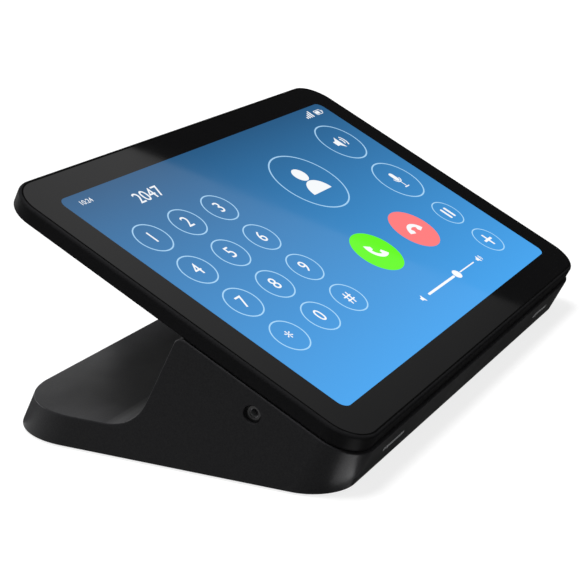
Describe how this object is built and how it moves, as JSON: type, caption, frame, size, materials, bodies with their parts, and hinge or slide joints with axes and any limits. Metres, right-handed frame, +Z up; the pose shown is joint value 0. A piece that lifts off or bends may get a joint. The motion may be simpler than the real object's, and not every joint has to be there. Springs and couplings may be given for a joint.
{
  "type": "touch-screen desk phone",
  "caption": "Table-top touch-screen phone controller: a tilted display slab with flat cover glass on a weighted wedge base with a low tail, headset jack and a covered cable bay.",
  "frame": {"origin": "desk surface, under the middle of the object's box", "axes": "+X to the user's right, +Y away from the user, +Z up"},
  "size_m": [0.2476, 0.1618, 0.1003],
  "materials": {
    "cover_glass": "clear, black printed border",
    "black_gloss": "smooth satin gloss",
    "black_matte": "fine moulded texture",
    "satin_trim": "satin",
    "jack_plastic": "moulded",
    "rubber": "matte",
    "foam": "foam",
    "lcd": "smooth",
    "steel": "plated sheet",
    "screw_steel": "black zinc",
    "board": "solder mask",
    "chip": "moulded",
    "heat_spreader": "milled"
  },
  "bodies": {
    "base": {"cover_glass": "cover_glass", "front_frame": "black_gloss", "rear_cover": "black_gloss", "base_shell": "black_matte", "base_plate": "black_matte", "speaker_grille": "black_matte", "mic_trim_left": "satin_trim", "mic_trim_right": "satin_trim", "headset_jack": "jack_plastic", "rubber_foot_front_left": "rubber", "rubber_foot_front_right": "rubber", "rubber_foot_rear_left": "rubber", "rubber_foot_rear_right": "rubber", "glass_tape": "foam", "speaker_gasket_left": "foam", "speaker_gasket_right": "foam", "lcd_panel": "lcd", "backlight_unit": "lcd", "panel_backplate": "steel", "lock_plate": "steel", "ballast_front": "steel", "ballast_left": "steel", "ballast_right": "steel", "network_socket": "steel", "usb_socket": "steel", "rear_cover_screws": "screw_steel", "display_screws": "screw_steel", "main_board_screws": "screw_steel", "base_plate_screws": "screw_steel", "io_board_screws": "screw_steel", "main_board": "board", "io_board": "board", "mic_module_left": "board", "mic_module_right": "board", "display_ribbon": "board", "processor": "chip", "power_switch": "chip", "reset_switch": "chip", "loudspeaker_left": "chip", "loudspeaker_right": "chip", "heat_spreader": "heat_spreader"},
    "power_button": {"power_button": "black_matte"},
    "reset_button": {"reset_button": "black_matte"},
    "cable_cover": {"cable_cover": "black_matte"}
  },
  "joints": [
    {"name": "power_press", "type": "slide", "parent": "base", "child": "power_button", "axis": [-1, 0, 0], "range_m": [0, 0.0008], "stiffness_N_per_m": 1200},
    {"name": "reset_press", "type": "slide", "parent": "base", "child": "reset_button", "axis": [0, 0, 1], "range_m": [0, 0.0006], "stiffness_N_per_m": 1200},
    {"name": "cover_slide", "type": "slide", "parent": "base", "child": "cable_cover", "axis": [0, 1, 0], "range_m": [0, 0.045]}
  ]
}
